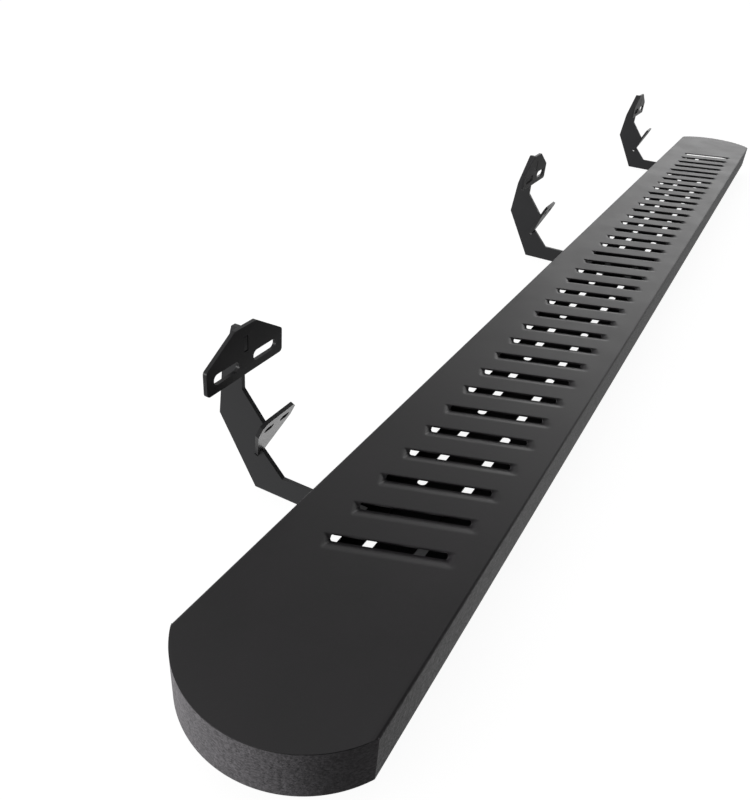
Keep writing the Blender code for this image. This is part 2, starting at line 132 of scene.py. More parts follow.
# ---- weld beads ----
BEAD_SIDES = 10
BEAD_RADIUS = 0.0021
BEAD_RIPPLE = 0.0024
MOUNT_BEAD = (0.061, 0.101)
TAB_BEAD = (0.029, 0.058)
FOOT_BEADS = ((-0.056, -0.018), (0.018, 0.056))
STITCH_RADIUS = 0.0016
STITCH_HALF = 0.018
STITCH_COUNT = 9
STITCH_FIRST_X = -0.88
STITCH_PITCH = 0.22

# ---- fasteners ----
HEAD_RIM = 0.0012
HEAD_LEAD = 0.0003
NECK_SIDE = 0.0078
THREAD_PITCH = 0.00125
THREAD_RADIUS = 0.0038
THREAD_DEPTH = 0.0006
THREAD_STEPS = 6
THREAD_START = 0.0004
THREAD_STOP = 0.0008
TIP_LENGTH = 0.0006
TIP_RADII = (0.0032, 0.0027)
HOLE_RADIUS = 0.0043
WASHER_EDGE = 0.0002
NUT_ACROSS = 0.013
NUT_EDGE = 0.0004

# ---- camera: placed to see the board as the photograph does ----
CAMERA_PLACE = (-1.2502, -0.2577, 0.4838)
CAMERA_AZIMUTH = math.radians(26.653)
CAMERA_DIP = math.radians(31.997)
CAMERA_ROLL = math.radians(4.860)
CAMERA_LENS = 33.93
SENSOR = 36.0

# ---- surroundings: each glow's strength, and where it rises from 0 to 1 along an axis ----
SURROUNDINGS = (
    (0.035, ()),
    (0.46, (("Y", -0.45, 0.25), ("X", -1.20, -0.40))),
    (1.75, (("X", 0.80, 1.00), ("Z", -0.05, 0.05), ("Y", 0.38, 0.20))),
    (0.36, (("X", 0.10, 0.65), ("Z", 0.05, -0.15))),
    (1.20, (("X", 0.30, 0.70), ("Z", -0.45, -0.75), ("Y", -0.15, 0.08))),
)

# ---- key light and floor ----
KEY_PLACE = (-3.2, 2.7, 0.45)
KEY_AIM = (-0.9, 0.0, 0.05)
KEY_SIZE = (1.2, 0.8)
KEY_ENERGY = 60.0
FLOOR_SIZE = 400.0
FLOOR_DROP = 0.0005
FLOOR_GREY = 0.30
FLOOR_GLOW = 0.93

END_RADIUS = (HALF_WIDTH ** 2 + END_RISE ** 2) / (2 * END_RISE)
END_CENTRE = HALF_LENGTH - END_RADIUS
TRAY_BOTTOM = TRAY_LOW.z - DECK.z
FLANGE_TOP = FLANGE_HIGH.z - DECK.z
FLANGE_BOTTOM = FLANGE_LOW.z - DECK.z
ARM_BOTTOM = ARM_LOW.z - DECK.z
MOUNT_Y = MOUNT_LOW.y - DECK.y
BOLT_X = (BOLT_LOW.x + BOLT_HIGH.x) / 2 - (ARM_LOW.x + ARM_HIGH.x) / 2


# ---- small tools ----

def bracket_x(place):
    """Where a bracket's arm stands along the board."""
    low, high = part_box(f"{place}_bracket_arm")
    return (low.x + high.x) / 2


def arc(centre, radius, start, end, steps):
    turns = [start + (end - start) * i / steps for i in range(steps + 1)]
    return [(centre[0] + radius * math.cos(a), centre[1] + radius * math.sin(a)) for a in turns]


def obround(centre, size, steps=ROUND_STEPS):
    """A slot with round ends, its long side along the first axis."""
    radius = size[1] / 2
    reach = size[0] / 2 - radius
    half = math.pi / 2
    right = arc((centre[0] + reach, centre[1]), radius, -half, half, steps)
    left = arc((centre[0] - reach, centre[1]), radius, half, 3 * half, steps)
    return right + left


def rounded(points, radius, steps=CORNER_STEPS):
    """The outline with every corner rounded to the given radius."""
    outline = []
    for i, point in enumerate(points):
        here = Vector(point)
        before = Vector(points[i - 1]) - here
        after = Vector(points[(i + 1) % len(points)]) - here
        turn = before.angle(after)
        if turn > NEARLY_STRAIGHT:
            outline.append(point)
            continue
        reach = min(radius / math.tan(turn / 2), before.length * 0.45, after.length * 0.45)
        size = reach * math.tan(turn / 2)
        start = here + before.normalized() * reach
        end = here + after.normalized() * reach
        centre = here + (before.normalized() + after.normalized()).normalized() * (
            size / math.sin(turn / 2))
        for k in range(steps + 1):
            blend = start.lerp(end, k / steps) - centre
            spot = centre + blend.normalized() * size
            outline.append((spot.x, spot.y))
    return outline


class Sheet:
    """A mesh whose vertices are looked up by place, so that neighbouring faces share them."""

    def __init__(self):
        self.bm = bmesh.new()
        self.known = {}

    def at(self, point):
        key = tuple(round(value, 7) for value in point)
        if key not in self.known:
            self.known[key] = self.bm.verts.new(point)
        return self.known[key]

    def face(self, points):
        verts = []
        for point in points:
            vert = self.at(point)
            if vert not in verts:
                verts.append(vert)
        if len(verts) > 2:
            self.bm.faces.new(verts)


def write_mesh(name, bm, smooth_angle=SMOOTH_ANGLE):
    mesh = bpy.data.meshes.new(name)
    bm.to_mesh(mesh)
    bm.free()
    mesh.shade_smooth()
    mesh.set_sharp_from_angle(angle=math.radians(smooth_angle))
    return mesh


def add_piece(name, mesh, material, nodes=(), place=(0.0, 0.0, 0.0)):
    """Put a piece into the deck's frame, on the one body, in place of its CAD nodes."""
    piece = bpy.data.objects.new(name, mesh)
    bpy.context.scene.collection.objects.link(piece)
    piece.location = DECK + Vector(place)
    piece.data.materials.append(material)
    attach(piece, BODY)
    if nodes:
        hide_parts(*nodes)
    return piece


def thicken(piece, thickness):
    """Give a sheet its thickness, inward from the drawn skin."""
    solid = piece.modifiers.new("thickness", "SOLIDIFY")
    solid.thickness = thickness
    solid.offset = -1.0
    solid.use_even_offset = True


def soften(piece, width):
    """Break the sharp edges slightly, as a powder coat does."""
    bevel = piece.modifiers.new("softened edges", "BEVEL")
    bevel.width = width
    bevel.segments = 2
    bevel.limit_method = "ANGLE"
    bevel.angle_limit = math.radians(50)
    bevel.harden_normals = True
    bevel.miter_outer = "MITER_ARC"


def plate_mesh(name, outline, holes, low, high, place=Matrix.Identity(4)):
    """A flat plate between two levels, cut to outline and pierced by holes, then placed."""
    bm = bmesh.new()
    edges = []
    for loop in [outline, *holes]:
        ring = [bm.verts.new((a, b, low)) for a, b in loop]
        edges += [bm.edges.new((ring[i - 1], ring[i])) for i in range(len(ring))]
    filled = bmesh.ops.triangle_fill(bm, edges=edges, use_beauty=True)
    faces = [item for item in filled["geom"] if isinstance(item, bmesh.types.BMFace)]
    raised = bmesh.ops.extrude_face_region(bm, geom=faces)
    tops = [item for item in raised["geom"] if isinstance(item, bmesh.types.BMVert)]
    bmesh.ops.translate(bm, verts=tops, vec=(0.0, 0.0, high - low))
    bmesh.ops.transform(bm, matrix=place, verts=bm.verts)
    bmesh.ops.recalc_face_normals(bm, faces=bm.faces)
    return write_mesh(name, bm)


# Each placement maps a plate's own (first axis, second axis, thickness) onto X, Y and Z.
UPRIGHT_ACROSS = Matrix(((0, 0, 1, 0), (1, 0, 0, 0), (0, 1, 0, 0), (0, 0, 0, 1)))
UPRIGHT_ALONG = Matrix(((1, 0, 0, 0), (0, 0, 1, 0), (0, 1, 0, 0), (0, 0, 0, 1)))


# ---- materials ----

class Nodes:
    """Short calls for building one material's node tree."""

    def __init__(self, name):
        self.material = bpy.data.materials.new(name)
        self.material.use_nodes = True
        self.tree = self.material.node_tree
        self.shader = self.tree.nodes["Principled BSDF"]
        self.place = self.tree.nodes.new("ShaderNodeTexCoord").outputs["Object"]

    def link(self, source, target):
        self.tree.links.new(source, target)

    def noise(self, scale, detail=3.0, roughness=0.55, stretch=None):
        node = self.tree.nodes.new("ShaderNodeTexNoise")
        node.inputs["Scale"].default_value = scale
        node.inputs["Detail"].default_value = detail
        node.inputs["Roughness"].default_value = roughness
        self.link(self.stretched(stretch) if stretch else self.place, node.inputs["Vector"])
        return node.outputs["Fac"]

    def cells(self, scale):
        node = self.tree.nodes.new("ShaderNodeTexVoronoi")
        node.feature = "SMOOTH_F1"
        node.inputs["Scale"].default_value = scale
        node.inputs["Smoothness"].default_value = 0.6
        self.link(self.place, node.inputs["Vector"])
        return node.outputs["Distance"]

    def stretched(self, amount):
        node = self.tree.nodes.new("ShaderNodeMapping")
        node.inputs["Scale"].default_value = amount
        self.link(self.place, node.inputs["Vector"])
        return node.outputs["Vector"]

    def ramp(self, source, low, high, low_value, high_value):
        node = self.tree.nodes.new("ShaderNodeMapRange")
        node.inputs["From Min"].default_value = low
        node.inputs["From Max"].default_value = high
        node.inputs["To Min"].default_value = low_value
        node.inputs["To Max"].default_value = high_value
        self.link(source, node.inputs["Value"])
        return node.outputs["Result"]

    def mix(self, amount, first, second):
        node = self.tree.nodes.new("ShaderNodeMix")
        node.data_type = "RGBA"
        self.link(amount, node.inputs["Factor"])
        for socket, value in ((node.inputs["A"], first), (node.inputs["B"], second)):
            if isinstance(value, tuple):
                socket.default_value = (*value, 1.0)
            else:
                self.link(value, socket)
        return node.outputs["Result"]

    def bump(self, height, distance, before=None):
        node = self.tree.nodes.new("ShaderNodeBump")
        node.inputs["Strength"].default_value = 1.0
        node.inputs["Distance"].default_value = distance
        self.link(height, node.inputs["Height"])
        if before:
            self.link(before, node.inputs["Normal"])
        return node.outputs["Normal"]

    def side_coat_painted_light_mask(self):
        """1 on the deck's folded sides, where the coarser coat with its lighter, partly
        painted-light tone goes, and 0 on its tread.
        """
        split = self.tree.nodes.new("ShaderNodeSeparateXYZ")
        self.link(self.place, split.inputs["Vector"])
        distance = self.tree.nodes.new("ShaderNodeMath")
        distance.operation = "ABSOLUTE"
        self.link(split.outputs["Y"], distance.inputs[0])
        edge = HALF_WIDTH - BEND_RADIUS
        return self.ramp(distance.outputs["Value"], edge + 0.0012, edge + 0.0024, 0.0, 1.0)

    def edge_mask(self):
        """Near 1 along worn outer edges and near 0 on flat faces."""
        geometry = self.tree.nodes.new("ShaderNodeNewGeometry")
        return self.ramp(geometry.outputs["Pointiness"], 0.52, 0.60, 0.0, 1.0)


def fine_coat(nodes, colour, roughness, grain, depth):
    """Colour, roughness and bump of a fine powder coat, thinner and lighter on its edges."""
    cloud = nodes.noise(14.0, 5.0, 0.62)
    speck = nodes.noise(1.0 / grain, 2.0)
    dark = tuple(value * 0.82 for value in colour)
    light = (colour[0] * 1.24, colour[1] * 1.14, colour[2] * 1.22)
    worn = tuple(value * 2.4 + 0.01 for value in colour)
    body = nodes.mix(nodes.ramp(cloud, 0.32, 0.68, 0.0, 1.0), dark, light)
    body = nodes.mix(nodes.ramp(speck, 0.60, 0.80, 0.0, 0.45), body, worn)
    body = nodes.mix(nodes.edge_mask(), body, worn)
    shine = nodes.ramp(cloud, 0.25, 0.75, roughness - 0.04, roughness + 0.05)
    peel = nodes.bump(nodes.noise(1.0 / (grain * 3.5), 2.0), depth * 1.8)
    return body, shine, nodes.bump(nodes.cells(1.0 / grain), depth, peel)


def coarse_coat(nodes, colour, roughness, grain, depth):
    """Colour, roughness and bump of a thicker, blotchy coat as on folded and welded sides; the
    lighter colours it is given there are partly painted light.
    """
    cloud = nodes.noise(40.0, 4.0, 0.65)
    blotch = nodes.noise(1.0 / grain, 3.0, 0.7, (1.0, 1.0, 1.7))
    dark = tuple(value * 0.38 for value in colour)
    light = (colour[0] * 2.0, colour[1] * 1.93, colour[2] * 2.0)
    body = nodes.mix(nodes.ramp(blotch, 0.36, 0.66, 0.0, 1.0), dark, light)
    body = nodes.mix(nodes.ramp(cloud, 0.35, 0.75, 0.0, 0.5), body, dark)
    body = nodes.mix(nodes.edge_mask(), body, light)
    shine = nodes.ramp(blotch, 0.30, 0.70, roughness + 0.07, roughness - 0.07)
    lumps = nodes.bump(nodes.noise(0.45 / grain, 2.0), depth * 1.5)
    return body, shine, nodes.bump(blotch, depth, lumps)


def powder_coat(name, fine=None, coarse=None):
    """Black powder coat, fine or coarse, or fine on the tread and coarse on the deck's sides,
    whose lighter tone there is partly painted light.
    """
    nodes = Nodes(name)
    looks = []
    if fine:
        looks.append(fine_coat(nodes, *fine))
    if coarse:
        looks.append(coarse_coat(nodes, *coarse))
    body, shine, normal = looks[0]
    if len(looks) == 2:
        # The folded sides take the coarser, lighter coat: a real coarser texture, with its lift in
        # tone painted light.
        side = nodes.side_coat_painted_light_mask()
        body = nodes.mix(side, body, looks[1][0])
        shine = nodes.mix(side, shine, looks[1][1])
        normal = nodes.mix(side, normal, looks[1][2])
    nodes.link(body, nodes.shader.inputs["Base Color"])
    nodes.link(shine, nodes.shader.inputs["Roughness"])
    nodes.link(normal, nodes.shader.inputs["Normal"])
    return nodes.material


def zinc_plate(name):
    """Zinc plated steel: cloudy grey metal with fine drawn scratches."""
    nodes = Nodes(name)
    nodes.shader.inputs["Metallic"].default_value = 1.0
    cloud = nodes.noise(220.0, 3.0)
    drawn = nodes.noise(900.0, 2.0, 0.5, (1.0, 1.0, 9.0))
    body = nodes.mix(nodes.ramp(cloud, 0.3, 0.7, 0.0, 1.0), (0.36, 0.36, 0.38), (0.52, 0.52, 0.50))
    nodes.link(body, nodes.shader.inputs["Base Color"])
    nodes.link(nodes.ramp(drawn, 0.3, 0.7, 0.30, 0.46), nodes.shader.inputs["Roughness"])
    nodes.link(nodes.bump(drawn, 0.00002), nodes.shader.inputs["Normal"])
    return nodes.material


# Each coat: colour, roughness, grain size and bump depth in metres.
DECK_COAT = ((0.021, 0.020, 0.0215), 0.42, 0.0009, 0.000022)
TRAY_COAT = ((0.014, 0.014, 0.015), 0.50, 0.0010, 0.00003)
BRACKET_COAT = ((0.013, 0.013, 0.014), 0.38, 0.0009, 0.000012)
# Side coat: a coarser coat whose lighter tone is partly painted light, standing in for light
# falling on the folded sides.
SIDE_COAT_WITH_PAINTED_LIGHT = ((0.060, 0.059, 0.061), 0.46, 0.0026, 0.00034)
# End coat: a coarser coat lifted far lighter than the deck's, partly painted light for the light
# falling on the bowed ends.
END_COAT_WITH_PAINTED_LIGHT = ((0.165, 0.161, 0.167), 0.52, 0.0026, 0.00042)
MATERIALS = {
    "deck_powder_coat": powder_coat("deck_powder_coat", DECK_COAT, SIDE_COAT_WITH_PAINTED_LIGHT),
    "end_powder_coat": powder_coat("end_powder_coat", None, END_COAT_WITH_PAINTED_LIGHT),
    "tray_powder_coat": powder_coat("tray_powder_coat", TRAY_COAT),
    "bracket_powder_coat": powder_coat("bracket_powder_coat", BRACKET_COAT),
    "zinc_fastener": zinc_plate("zinc_fastener"),
}


# ---- pressed deck ----

ALONG = Vector((-math.sin(LOUVRE_SLANT), math.cos(LOUVRE_SLANT)))
SLOPE = math.tan(LOUVRE_SLANT)
HALF_SLOT = LOUVRE_LENGTH / 2
BAND_HALF = HALF_SLOT * math.cos(LOUVRE_SLANT) + LOUVRE_BAND_MARGIN
CELL_BEHIND = LOUVRE_PITCH - LOUVRE_STRIP
# Grid rows of a cell, as shares of the way back from the scoop's foot, and distances ahead.
ROWS_BEHIND = (.015, .04, .08, .14, .22, .32, .40, .45, .48, .51, .54, .57, .60, .63, .67, .75,
               .87, 1)
ROWS_AHEAD = (0.0006, 0.0018, 0.005, LOUVRE_STRIP)
# Grid columns, as distances inward and outward from the ends of the cut.
COLUMNS_INWARD = [0.0042, 0.0062, 0.009, 0.013, 0.019, 0.027]
COLUMNS_OUTWARD = [0.0009 * k for k in range(1, 10)] + [0.0105, 0.0125]
SLOT_ROUND = LOUVRE_GAP / 2
TREAD_HALF = HALF_WIDTH - BEND_RADIUS - BEND_LEAD


def end_x(y):
    """How far the bowed end reaches along X at a distance y from the centre line."""
    return END_CENTRE + math.sqrt(END_RADIUS ** 2 - y ** 2)


def soft_ramp(value, softness):
    """0 below zero and the value itself above, with a smooth turn in between."""
    if value <= -softness:
        return 0.0
    if value >= softness:
        return value
    return (value + softness) ** 2 / (4 * softness)


def soft_least(first, second, softness=0.12):
    """The smaller of two values, with a smooth change from one to the other."""
    gap = (first - second) / softness
    if abs(gap) >= 1:
        return min(first, second)
    return (first + second) / 2 - softness * (1 + gap * gap) / 4


def dip(a, b):
    """Depth of a scoop at a place along the slot, a, and behind its cut edge, b."""
    fall = max(0.0, (LOUVRE_WIDTH - b) / (LOUVRE_WIDTH - LOUVRE_GAP)) ** SCOOP_CURVE
    front = soft_ramp(b / LOUVRE_GAP, FRONT_SOFT)
    reach = (HALF_SLOT + LOUVRE_END_REACH - abs(a)) / LOUVRE_END_SLOPE
    side = soft_least(soft_ramp(reach, END_SOFT), 1.0)
    return LOUVRE_DROP * max(0.0, soft_least(soft_least(min(fall, 1.0), front, 0.2), side, 0.2))


def in_slot(a, b):
    """True inside the cut: a slot with round ends along the foot of the scoop."""
    if not 0.0 <= b <= LOUVRE_GAP:
        return False
    over = abs(a) - (HALF_SLOT - SLOT_ROUND)
    return over <= 0 or over ** 2 + (b - SLOT_ROUND) ** 2 <= SLOT_ROUND ** 2


def slot_ends():
    """For each end of the cut: the column that just touches it, and how far back it does so."""
    lean = math.sin(LOUVRE_SLANT)
    reach = HALF_SLOT - SLOT_ROUND
    low_back = SLOT_ROUND * (1 + lean) / math.cos(LOUVRE_SLANT)
    high_back = SLOT_ROUND * (1 - lean) / math.cos(LOUVRE_SLANT)
    return (-reach - low_back, low_back), (reach + high_back, high_back)


def column_places():
    """Where the grid's columns cross the cut line, closer together round the cut's ends."""
    (low, _), (high, _) = slot_ends()
    edge = BAND_HALF / math.cos(LOUVRE_SLANT)
    turns = [1 - math.cos(math.pi / 2 * k / 7) for k in range(8)]
    inner = [SLOT_ROUND * 1.1 * t for t in turns] + COLUMNS_INWARD
    left = [low + reach for reach in inner] + [low - reach for reach in COLUMNS_OUTWARD]
    right = [high - reach for reach in inner] + [high + reach for reach in COLUMNS_OUTWARD]
    kept = [a for a in left + right + [0.0] if abs(a) < edge - 0.0006]
    return sorted(set(round(a, 7) for a in kept + [-edge, edge]))


def seam_back(a):
    """How far back of the cut line a column crosses the middle of the cut."""
    (low, low_back), (high, high_back) = slot_ends()
    share = min(1.0, max(0.0, (a - low) / (high - low)))
    return low_back + (high_back - low_back) * share


def slot_edge(a, inside, outside):
    """Where a column leaves the cut, between a place inside it and one outside."""
    lean, fall = math.sin(LOUVRE_SLANT), math.cos(LOUVRE_SLANT)
    for _ in range(30):
        middle = (inside + outside) / 2
        if in_slot(a + middle * lean, middle * fall):
            inside = middle
        else:
            outside = middle
    return (inside + outside) / 2


def slot_point(index, a):
    """The place on a slot's cut edge line at a distance a from its middle."""
    start = LOUVRE_FIRST_X + index * LOUVRE_PITCH - SLOPE * LOUVRE_CENTRE_Y
    return Vector((start, LOUVRE_CENTRE_Y)) + ALONG * a


def column_backs(a):
    """Distances back from the cut line of one column's points, on both sides of the cut."""
    (low, _), (high, _) = slot_ends()
    seam = seam_back(a)
    foot = LOUVRE_GAP / math.cos(LOUVRE_SLANT)
    lip = cut = seam
    if low < a < high:
        lip = slot_edge(a, seam, foot + 0.0001)
        cut = slot_edge(a, seam, -0.0001)
    behind = [lip, lip + (foot - lip) * 0.5, foot]
    behind += [foot + (CELL_BEHIND - foot) * share for share in ROWS_BEHIND]
    ahead = [cut, cut * 0.66, cut * 0.33, 0.0] + [-reach for reach in ROWS_AHEAD]
    return behind, ahead


def column_points(index, a):
    """Points of one grid column: behind the cut to the cell's edge, then ahead of the cut."""
    base = slot_point(index, a)
    rows = []
    for backs in column_backs(a):
        row = []
        for back in backs:
            depth = dip(a + back * math.sin(LOUVRE_SLANT), back * math.cos(LOUVRE_SLANT))
            row.append((base.x - back, base.y, -depth))
        rows.append(row)
    return rows


def add_cell(sheet, index, places):
    """One pressed louvre and the flat sheet round it."""
    columns = [column_points(index, a) for a in places]
    for (behind, ahead), (next_behind, next_ahead) in zip(columns, columns[1:]):
        for row, next_row in ((behind, next_behind), (ahead, next_ahead)):
            for k in range(len(row) - 1):
                sheet.face([row[k], row[k + 1], next_row[k + 1], next_row[k]])
    return columns


def add_margin(sheet, side, column, outer_y):
    """The flat sheet between one cell's last column and the bend."""
    behind, ahead = column
    edge = list(reversed(behind)) + list(ahead)
    sheet.face(edge + [(edge[-1][0], side * outer_y, 0.0), (edge[0][0], side * outer_y, 0.0)])
    return edge[0][0], edge[-1][0]


def bend_profile():
    """The folded side as (y, z), from the tread down to the skirt's lower edge."""
    bend_y = HALF_WIDTH - BEND_RADIUS
    curve = arc((bend_y, -BEND_RADIUS), BEND_RADIUS, math.pi / 2, 0.0, BEND_STEPS)
    curve = [(TREAD_HALF, 0.0)] + curve
    return curve + [(HALF_WIDTH, -BEND_RADIUS - BEND_LEAD), (HALF_WIDTH, SKIRT_END)]


def add_skirt(sheet, side, stations):
    """The bend and skirt of one long side, cut at both ends along the bowed outline."""
    profile = bend_profile()
    for (y0, z0), (y1, z1) in zip(profile, profile[1:]):
        rear = [(-end_x(y0), side * y0, z0), (-end_x(y1), side * y1, z1)]
        front = [(end_x(y1), side * y1, z1), (end_x(y0), side * y0, z0)]
        middle = [(x, side * y0, z0) for x in reversed(stations)] if y0 == TREAD_HALF else []
        sheet.face(rear + front + middle)


def add_bowed_end(sheet, end, inboard):
    """The plain tread at one end, out to the bowed edge."""
    reach = math.asin(TREAD_HALF / END_RADIUS)
    curve = arc((END_CENTRE, 0.0), END_RADIUS, -reach, reach, END_STEPS)
    curve = [(end * x, y, 0.0) for x, y in curve]
    first = [(inboard[0][0], TREAD_HALF, 0.0)]
    last = [(inboard[-1][0], -TREAD_HALF, 0.0)]
    sheet.face(curve + first + inboard + last)


def make_deck():
    """The pressed tread, its bends and skirts, as one sheet given its thickness."""
    sheet = Sheet()
    places = column_places()
    stations = {1: [], -1: []}
    cells = [add_cell(sheet, index, places) for index in range(LOUVRE_COUNT)]
    for columns in cells:
        for side, column in ((1, columns[-1]), (-1, columns[0])):
            stations[side] += add_margin(sheet, side, column, TREAD_HALF)
    for side in (1, -1):
        xs = sorted(set(round(x, 6) for x in stations[side]))
        merged = [x for k, x in enumerate(xs) if k == 0 or x - xs[k - 1] > 1e-4]
        add_skirt(sheet, side, merged)
    rear_edge = [column[0][-1] for column in reversed(cells[0])]
    front_edge = [column[1][-1] for column in reversed(cells[-1])]
    add_bowed_end(sheet, -1, rear_edge)
    add_bowed_end(sheet, 1, front_edge)
    bmesh.ops.remove_doubles(sheet.bm, verts=sheet.bm.verts, dist=0.00001)
    turn_outward(sheet.bm, Vector((0, 0, 1)))
    mesh = write_mesh("pressed_deck", sheet.bm, DECK_SMOOTH_ANGLE)
    slot = "deck_powder_coat"
    deck = add_piece("pressed_deck", mesh, MATERIALS[slot], ["deck_panel"])
    thicken(deck, SHEET)
    soften(deck, SHEET_EDGE)


def turn_outward(bm, outward):
    """Make all faces agree, with the largest one facing outward."""
    bmesh.ops.recalc_face_normals(bm, faces=bm.faces)
    largest = max(bm.faces, key=lambda face: face.calc_area() * abs(face.normal.dot(outward)))
    if largest.normal.dot(outward) < 0:
        bmesh.ops.reverse_faces(bm, faces=bm.faces)


# ---- curved ends ----

def make_end_band(label, end):
    """The curved strip under one bowed end, welded and ground flush with the tread and skirts, its
    coat lighter than the deck's as painted light.
    """
    outer = END_RADIUS + FLUSH
    inner = END_RADIUS - SHEET
    reach = math.asin((HALF_WIDTH + FLUSH) / outer)
    inner_reach = math.asin((HALF_WIDTH - SHEET + GAP) / inner)
    outline = arc((END_CENTRE, 0.0), outer, -reach, reach, END_STEPS)
    outline += arc((END_CENTRE, 0.0), inner, inner_reach, -inner_reach, END_STEPS)
    outline = [(end * x, end * y) for x, y in outline]
    mesh = plate_mesh(f"{label}_end_band", outline, [], SKIRT_END, -BEND_RADIUS * 0.3)
    # The end band's lighter coat is partly painted light, standing in for light falling on the
    # ends.
    slot = "end_powder_coat"
    band = add_piece(f"{label}_end_band", mesh, MATERIALS[slot], [f"{label}_end_wall"])
    soften(band, SHEET_EDGE)


# ---- tray ----

def add_tray_floor(sheet, half_length, flat):
    """The tray's flat floor, pierced by the rows of slots."""
    corners = [(-half_length, -flat), (half_length, -flat), (half_length, flat),
               (-half_length, flat)]
    loops = [corners]
    for column in range(TRAY_SLOT_COUNT):
        x = TRAY_SLOT_FIRST_X + column * TRAY_SLOT_PITCH + TRAY_SLOT_LENGTH / 2
        for y in TRAY_ROWS:
            loops.append(obround((x, y), (TRAY_SLOT_LENGTH, TRAY_SLOT_WIDTH), 8))
    edges = []
    for loop in loops:
        ring = [sheet.at((x, y, TRAY_BOTTOM)) for x, y in loop]
        edges += [sheet.bm.edges.new((ring[i - 1], ring[i])) for i in range(len(ring))]
    bmesh.ops.triangle_fill(sheet.bm, edges=edges, use_beauty=True)


def add_tray_sides(sheet, half_length, half, flat):
    """The bends and walls that turn up along both of the tray's long sides."""
    curve = arc((flat, TRAY_BOTTOM + TRAY_BEND), TRAY_BEND, -math.pi / 2, 0.0, 5)
    profile = curve + [(half, TRAY_HIGH.z - DECK.z)]
    for side in (1, -1):
        for (y0, z0), (y1, z1) in zip(profile, profile[1:]):
            sheet.face([(-half_length, side * y0, z0), (half_length, side * y0, z0),
                        (half_length, side * y1, z1), (-half_length, side * y1, z1)])


def make_tray():
    """The slotted channel below the louvres, its sides turned up to the deck."""
    half_length = (TRAY_HIGH.x - TRAY_LOW.x) / 2
    half = (TRAY_HIGH.y - TRAY_LOW.y) / 2
    flat = half - TRAY_BEND
    sheet = Sheet()
    add_tray_floor(sheet, half_length, flat)
    add_tray_sides(sheet, half_length, half, flat)
    turn_outward(sheet.bm, Vector((0, 0, -1)))
    mesh = write_mesh("slotted_tray", sheet.bm)
    slot = "tray_powder_coat"
    tray = add_piece("slotted_tray", mesh, MATERIALS[slot], ["under_tray"])
    thicken(tray, SHEET)
    soften(tray, SHEET_EDGE)


# ---- brackets ----

def tab_point(down, out):
    """A place in the tab's side view: down its face, and out from it to the vehicle."""
    y = TAB_TOP[0] + down * math.sin(TAB_TILT) + out * math.cos(TAB_TILT)
    z = TAB_TOP[1] - down * math.cos(TAB_TILT) + out * math.sin(TAB_TILT)
    return y, z


def arm_outline():
    """The arm's corners in side view, from the foot's outer end under the deck and up."""
    seat = PLATE + GAP
    inner = MOUNT_Y + seat
    end = MOUNT_Y + GAP
    notch_end = TAB_LENGTH + TAB_NOTCH_SPARE
    reach = ARM_HIGH.y - DECK.y
    tip = 0.1045
    return [(-0.066, -0.050), (-0.058, ARM_BOTTOM), (0.1764, ARM_BOTTOM), (reach, 0.005),
            (0.2133, 0.055), (0.2005, tip), (inner, tip), (inner, TENON_HIGH - GAP),
            (end, TENON_HIGH - GAP), (end, TENON_LOW + GAP), (inner, TENON_LOW + GAP),
            (inner, 0.0405), tab_point(TAB_SEAT, seat), tab_point(notch_end, seat),
            tab_point(notch_end, -GAP), tab_point(TAB_MOUTH, -GAP), (0.144, -0.0458),
            (0.066, -0.0458), (0.062, FLANGE_BOTTOM - GAP), (-0.062, FLANGE_BOTTOM - GAP)]


def arm_mesh(name):
    half = ARM_THICKNESS / 2
    return plate_mesh(name, rounded(arm_outline(), 0.0008), [], -half, half, UPRIGHT_ACROSS)


def mount_mesh(name):
    """The house-shaped plate with two slots, and a third for the arm's tenon."""
    half, top_half, bottom, shoulder, top = 0.0555, 0.0155, 0.0584, 0.0835, 0.1074
    outline = [(half, bottom), (half, shoulder), (top_half, top), (-top_half, top),
               (-half, shoulder), (-half, bottom)]
    tenon = ARM_THICKNESS / 2 + GAP
    slots = [obround((side * MOUNT_SLOT_X, MOUNT_SLOT_Z), MOUNT_SLOT) for side in (-1, 1)]
    slots.append([(-tenon, TENON_LOW), (tenon, TENON_LOW), (tenon, TENON_HIGH),
                  (-tenon, TENON_HIGH)])
    return plate_mesh(name, rounded(outline, 0.004, 8), slots, MOUNT_Y, MOUNT_Y + PLATE,
                      UPRIGHT_ALONG)


def tab_mesh(name):
    """The leaning shield-shaped plate with two slots."""
    right = [(0.003, -TAB_LENGTH), (TAB_HALF_WIDTH, -TAB_SHOULDER), (TAB_HALF_WIDTH, -0.005),
             (TAB_HALF_WIDTH - 0.005, 0.0)]
    outline = right + [(-a, b) for a, b in reversed(right)]
    holes = [obround((side * TAB_SLOT_X, -TAB_SLOT_DOWN), TAB_SLOT) for side in (-1, 1)]
    lean = Matrix.Translation((0.0, *TAB_TOP)) @ Matrix.Rotation(TAB_TILT, 4, "X")
    return plate_mesh(name, rounded(outline, 0.0012), holes, 0.0, PLATE, lean @ UPRIGHT_ALONG)


def foot_mesh(name, place):
    """The flat foot under the tray, drilled for its two bolts."""
    low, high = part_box(f"{place}_foot_flange")
    near, far = low.x - bracket_x(place), high.x - bracket_x(place)
    reach = (high.y - low.y) / 2
    corners = [(near, -reach), (far, -reach), (far, reach), (near, reach)]
    drilled = [arc((BOLT_X, y), CLEARANCE_RADIUS, 0.0, 2 * math.pi * 31 / 32, 31)
               for y in BOLT_ROWS.values()]
    return plate_mesh(name, rounded(corners, 0.003), drilled, FLANGE_BOTTOM, FLANGE_TOP)


